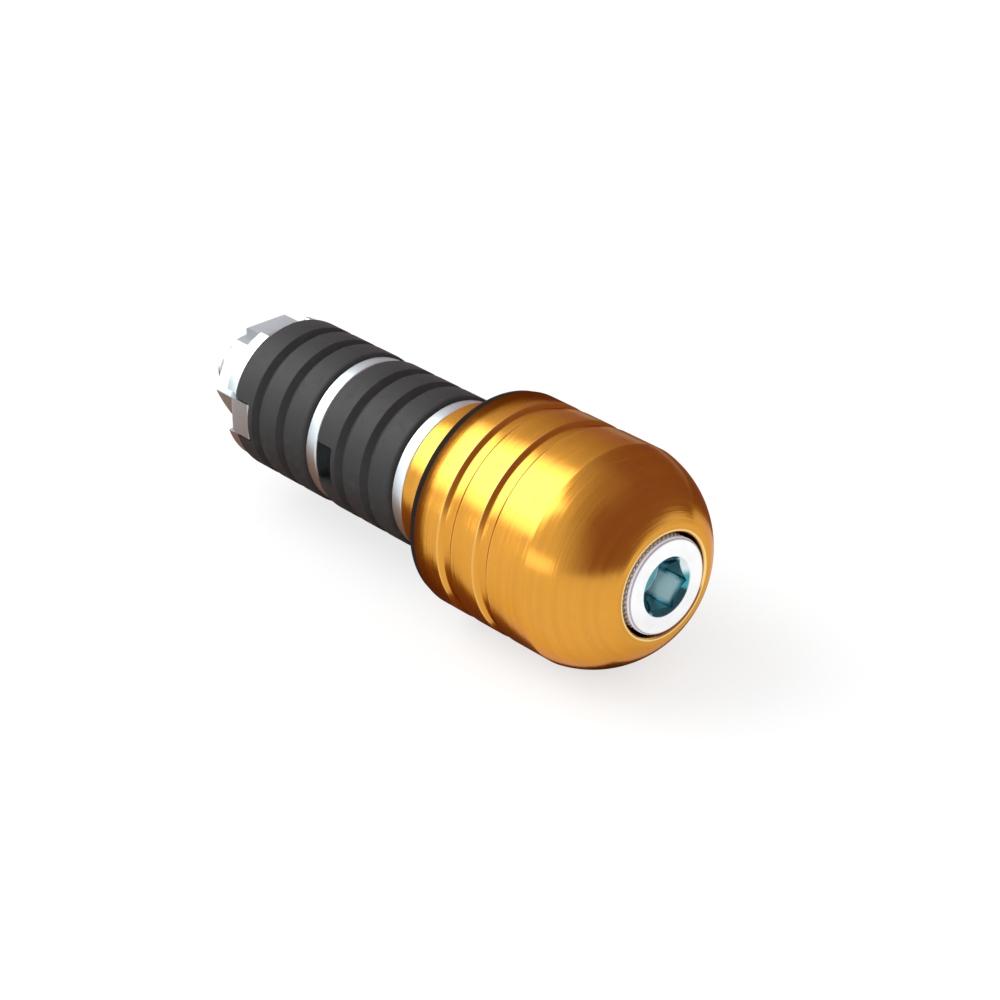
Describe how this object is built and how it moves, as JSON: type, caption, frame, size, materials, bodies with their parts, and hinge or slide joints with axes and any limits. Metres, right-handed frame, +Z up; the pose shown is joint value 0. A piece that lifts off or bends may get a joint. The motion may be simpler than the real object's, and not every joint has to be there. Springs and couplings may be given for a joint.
{
  "type": "bar end weight",
  "caption": "Turned, gold anodised bar end weight with a domed nose and grooves, clamped in the bar's bore by a socket head screw and rubber bushes.",
  "frame": {"origin": "centre of the seat, where the end of the bar meets the seat washer", "axes": "+X outwards along the screw's axis towards the nose, +Z up, +Y completing a right-handed frame"},
  "size_m": [0.066, 0.023, 0.023],
  "materials": {
    "gold_anodised": "satin, fine turning marks, gold anodised",
    "zinc_steel": "bright zinc plated, blue passivated",
    "spring_steel": "dark phosphated",
    "black_rubber": "matt moulded",
    "black_nylon": "matt"
  },
  "bodies": {
    "root": {"weight_body": "gold_anodised", "clamp_screw": "zinc_steel", "lock_washer": "spring_steel", "seat_washer": "black_nylon", "front_washer": "zinc_steel", "front_bush": "black_rubber", "centre_washer": "zinc_steel", "rear_bush": "black_rubber", "tab_washer": "zinc_steel", "hex_nut": "zinc_steel"}
  },
  "joints": []
}
